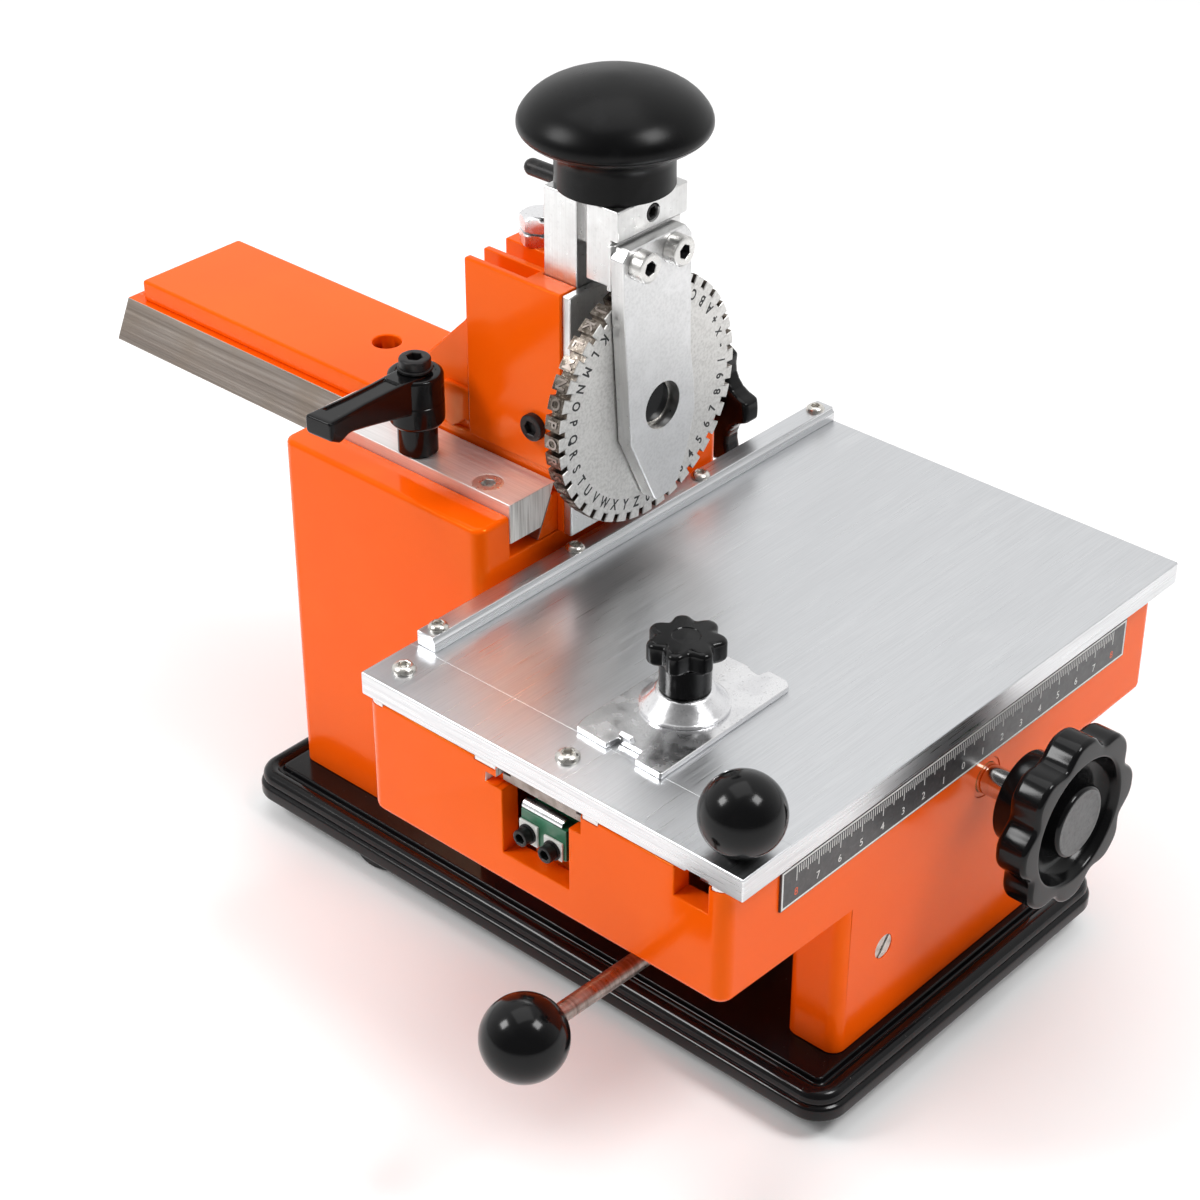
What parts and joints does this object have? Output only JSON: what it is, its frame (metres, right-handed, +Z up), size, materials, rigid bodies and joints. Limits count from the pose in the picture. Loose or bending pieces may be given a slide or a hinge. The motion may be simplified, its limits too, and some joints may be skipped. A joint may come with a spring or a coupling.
{
  "type": "nameplate embossing machine",
  "caption": "Bench-top press with a rotating character dial, palm knob, sliding dovetail arm and a rack-driven cross table on an orange casting and black base.",
  "frame": {"origin": "middle of the bounding box in X and Y, at the level of the undersides of the rubber feet", "axes": "+X to the operator's right along the table, +Y away from the operator along the dovetail arm, +Z up"},
  "size_m": [0.2705, 0.384, 0.28],
  "materials": {
    "black_enamel": "gloss black stove enamel",
    "orange_paint": "gloss orange paint over cast iron",
    "foot_rubber": "matt black rubber",
    "screw_steel": "turned steel",
    "guide_aluminium": "machined, satin",
    "ruler_black": "black strip, printed white",
    "bush_brass": "reamed brass",
    "green_paint": "green enamel",
    "pad_white": "white plastic",
    "black_steel": "black oxide steel",
    "bright_zinc": "bright zinc plate",
    "dark_steel": "oiled steel",
    "table_steel": "ground steel, brushed left to right",
    "black_phenolic": "polished black moulding",
    "bare_slide": "bare planed iron, grey-brown",
    "satin_head": "satin machined metal",
    "dial_steel": "satin steel, worn at the teeth"
  },
  "bodies": {
    "stand": {"base_plate": "black_enamel", "rubber_feet": "foot_rubber", "column_casting": "orange_paint", "bed_casting": "orange_paint", "casting_bolts": "screw_steel", "gib_bar": "guide_aluminium", "guide_bar_right": "guide_aluminium", "gib_screws": "screw_steel", "ruler_strip": "ruler_black", "slide_liners": "guide_aluminium", "guide_blocks": "guide_aluminium", "front_bush": "bush_brass", "slotted_plug": "screw_steel", "support_bracket": "green_paint", "bracket_pads": "pad_white", "bracket_screws": "black_steel", "support_bar": "bright_zinc", "anvil_block": "dark_steel", "lever_spring": "dark_steel", "lever_pivot_pin": "dark_steel"},
    "work_table": {"table_plate": "table_steel", "end_strip": "table_steel", "work_rail": "table_steel", "table_screws": "screw_steel", "table_ball": "black_phenolic", "front_rail": "guide_aluminium", "rear_rail": "dark_steel", "drive_rack": "dark_steel", "clamp_stud": "screw_steel"},
    "clamp_jaw": {"clamp_plate": "bright_zinc", "cone_washer": "bright_zinc"},
    "clamp_knob": {"clamp_star_knob": "black_phenolic"},
    "hand_drive": {"handwheel": "black_phenolic", "wheel_shaft": "dark_steel", "drive_pinion": "dark_steel"},
    "press_head": {"slide_bar": "bare_slide", "head_casting": "orange_paint", "cover_plate": "satin_head", "stop_bolt": "bright_zinc", "stop_nut": "bright_zinc", "wall_screw": "black_steel", "return_springs": "dark_steel"},
    "ram": {"ram_block": "satin_head", "palm_knob": "black_phenolic", "knob_stud": "dark_steel", "set_screw": "black_steel", "stop_pin": "black_steel", "fork_plate": "satin_head", "fork_screws": "screw_steel", "spacer_plate": "satin_head", "dial_axle": "black_steel", "axle_ring": "black_steel", "index_plunger": "screw_steel"},
    "dial": {"type_dial": "dial_steel"},
    "clamping_lever": {"clamp_lever_handle": "black_phenolic", "clamp_lever_screw": "black_steel"},
    "lock_knob": {"lock_star_knob": "black_phenolic"},
    "brake_lever": {"lever_ball": "black_phenolic", "lever_rod": "dark_steel", "brake_arm": "dark_steel"}
  },
  "joints": [
    {"name": "table_slide", "type": "slide", "parent": "stand", "child": "work_table", "axis": [-1, 0, 0], "range_m": [-0.0754, 0.0754]},
    {"name": "handwheel_turn", "type": "hinge", "parent": "stand", "child": "hand_drive", "pos_m": [0.04375, -0.164, 0.0855], "axis": [0, 1, 0], "range_deg": [-481, 481]},
    {"name": "clamp_jaw_lift", "type": "slide", "parent": "work_table", "child": "clamp_jaw", "axis": [0, 0, 1], "range_m": [0, 0.002]},
    {"name": "clamp_knob_turn", "type": "hinge", "parent": "clamp_jaw", "child": "clamp_knob", "pos_m": [-0.03175, -0.1005, 0.138], "axis": [0, 0, 1], "range_deg": [0, 720.4]},
    {"name": "head_slide", "type": "slide", "parent": "stand", "child": "press_head", "axis": [0, -1, 0], "range_m": [0, 0.09]},
    {"name": "press_stroke", "type": "slide", "parent": "press_head", "child": "ram", "axis": [0, 0, -1], "range_m": [0, 0.0108], "stiffness_N_per_m": 1500, "springref_m": -0.01, "deforming": ["return_springs"]},
    {"name": "dial_turn", "type": "hinge", "parent": "ram", "child": "dial", "pos_m": [0.02945, -0.029, 0.1765], "axis": [0, 1, 0], "continuous": true},
    {"name": "clamping_lever_turn", "type": "hinge", "parent": "stand", "child": "clamping_lever", "pos_m": [-0.00915, 0.0315, 0.161], "axis": [0, 0, 1], "range_deg": [-70, 75]},
    {"name": "lock_knob_turn", "type": "hinge", "parent": "stand", "child": "lock_knob", "pos_m": [0.09625, 0.006, 0.1365], "axis": [1, 0, 0], "range_deg": [0, 360]},
    {"name": "brake_lever_turn", "type": "hinge", "parent": "stand", "child": "brake_lever", "pos_m": [-0.01775, -0.104, 0.0633], "axis": [0, -1, 0], "range_deg": [0, 8], "stiffness_Nm_per_rad": 0.8, "springref_deg": -8.59}
  ],
  "couplings": [
    {"joint": "handwheel_turn", "follows": "table_slide", "rad_per_m": -111.11},
    {"joint": "clamp_knob_turn", "follows": "clamp_jaw_lift", "rad_per_m": 6283.2}
  ]
}
